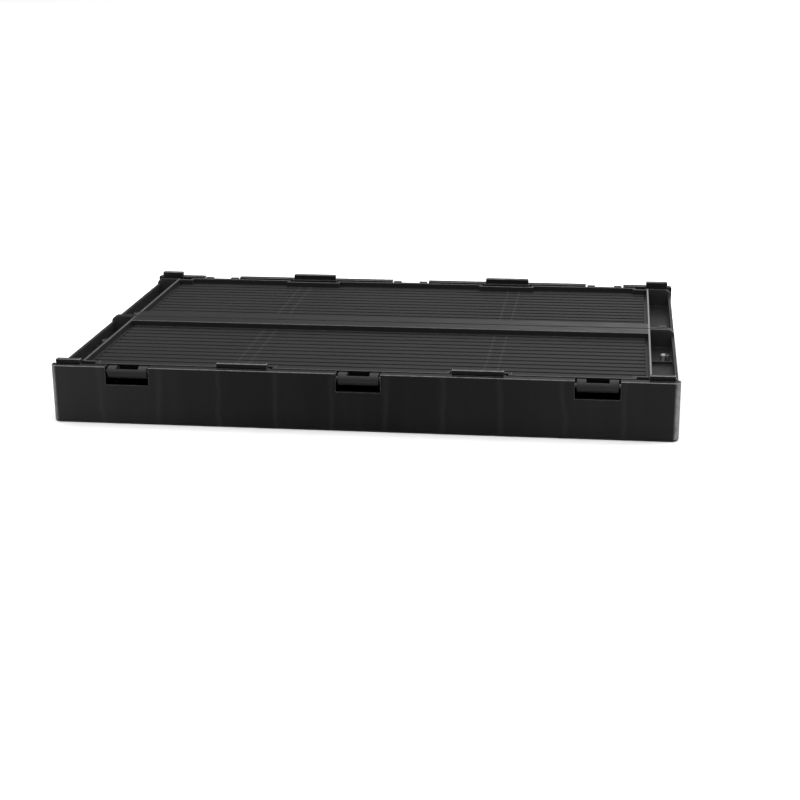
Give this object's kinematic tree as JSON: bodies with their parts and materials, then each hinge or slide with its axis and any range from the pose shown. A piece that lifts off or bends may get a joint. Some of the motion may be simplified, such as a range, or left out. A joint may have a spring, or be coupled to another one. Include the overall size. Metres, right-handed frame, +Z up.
{
  "type": "folding tote",
  "caption": "Black folding storage tote, shown folded flat: shallow tray with stacking tabs, ribbed long walls that hinge up, end walls with latches beneath.",
  "frame": {"origin": "middle of the underside, on the surface the tote stands on", "axes": "+X along the long sides, +Y towards the back long side, +Z up"},
  "size_m": [0.6, 0.4, 0.0625],
  "materials": {
    "tray_plastic": "satin black moulded polypropylene",
    "wall_plastic": "satin black moulded polypropylene, slightly smoother on the rails",
    "latch_plastic": "semi-gloss black acetal",
    "pin_plastic": "smooth black hinge pin"
  },
  "bodies": {
    "tray": {"base_tray": "tray_plastic", "front_left_hinge_pin": "pin_plastic", "front_middle_hinge_pin": "pin_plastic", "front_right_hinge_pin": "pin_plastic", "back_left_hinge_pin": "pin_plastic", "back_middle_hinge_pin": "pin_plastic", "back_right_hinge_pin": "pin_plastic", "left_front_end_hinge_pin": "pin_plastic", "left_back_end_hinge_pin": "pin_plastic", "right_front_end_hinge_pin": "pin_plastic", "right_back_end_hinge_pin": "pin_plastic"},
    "front_wall": {"front_side_wall": "wall_plastic"},
    "back_wall": {"back_side_wall": "wall_plastic"},
    "left_end": {"left_end_wall": "wall_plastic", "left_latch_cover": "wall_plastic", "left_front_latch_spring": "latch_plastic", "left_back_latch_spring": "latch_plastic"},
    "left_grip": {"left_grip": "latch_plastic"},
    "left_front_bolt": {"left_front_latch_bolt": "latch_plastic"},
    "left_back_bolt": {"left_back_latch_bolt": "latch_plastic"},
    "right_end": {"right_end_wall": "wall_plastic", "right_latch_cover": "wall_plastic", "right_front_latch_spring": "latch_plastic", "right_back_latch_spring": "latch_plastic"},
    "right_grip": {"right_grip": "latch_plastic"},
    "right_front_bolt": {"right_front_latch_bolt": "latch_plastic"},
    "right_back_bolt": {"right_back_latch_bolt": "latch_plastic"}
  },
  "joints": [
    {"name": "front_wall_hinge", "type": "hinge", "parent": "tray", "child": "front_wall", "pos_m": [0, -0.193, 0.0505], "axis": [1, 0, 0], "range_deg": [0, 90]},
    {"name": "back_wall_hinge", "type": "hinge", "parent": "tray", "child": "back_wall", "pos_m": [0, 0.193, 0.0505], "axis": [-1, 0, 0], "range_deg": [0, 90]},
    {"name": "left_end_hinge", "type": "hinge", "parent": "tray", "child": "left_end", "pos_m": [-0.2875, 0, 0.022], "axis": [0, -1, 0], "range_deg": [0, 3.5]},
    {"name": "left_grip_slide", "type": "slide", "parent": "left_end", "child": "left_grip", "axis": [1, 0, 0], "range_m": [0, 0.0085], "stiffness_N_per_m": 400, "springref_m": -0.005},
    {"name": "left_front_bolt_slide", "type": "slide", "parent": "left_end", "child": "left_front_bolt", "axis": [0, 1, 0], "range_m": [0, 0.0085], "deforming": ["left_front_latch_spring"]},
    {"name": "left_back_bolt_slide", "type": "slide", "parent": "left_end", "child": "left_back_bolt", "axis": [0, -1, 0], "range_m": [0, 0.0085], "deforming": ["left_back_latch_spring"]},
    {"name": "right_end_hinge", "type": "hinge", "parent": "tray", "child": "right_end", "pos_m": [0.2875, 0, 0.022], "axis": [0, 1, 0], "range_deg": [0, 3.5]},
    {"name": "right_grip_slide", "type": "slide", "parent": "right_end", "child": "right_grip", "axis": [-1, 0, 0], "range_m": [0, 0.0085], "stiffness_N_per_m": 400, "springref_m": -0.005},
    {"name": "right_front_bolt_slide", "type": "slide", "parent": "right_end", "child": "right_front_bolt", "axis": [0, 1, 0], "range_m": [0, 0.0085], "deforming": ["right_front_latch_spring"]},
    {"name": "right_back_bolt_slide", "type": "slide", "parent": "right_end", "child": "right_back_bolt", "axis": [0, -1, 0], "range_m": [0, 0.0085], "deforming": ["right_back_latch_spring"]}
  ],
  "couplings": [
    {"joint": "left_front_bolt_slide", "follows": "left_grip_slide", "ratio": 1},
    {"joint": "left_back_bolt_slide", "follows": "left_grip_slide", "ratio": 1},
    {"joint": "right_front_bolt_slide", "follows": "right_grip_slide", "ratio": 1},
    {"joint": "right_back_bolt_slide", "follows": "right_grip_slide", "ratio": 1}
  ]
}
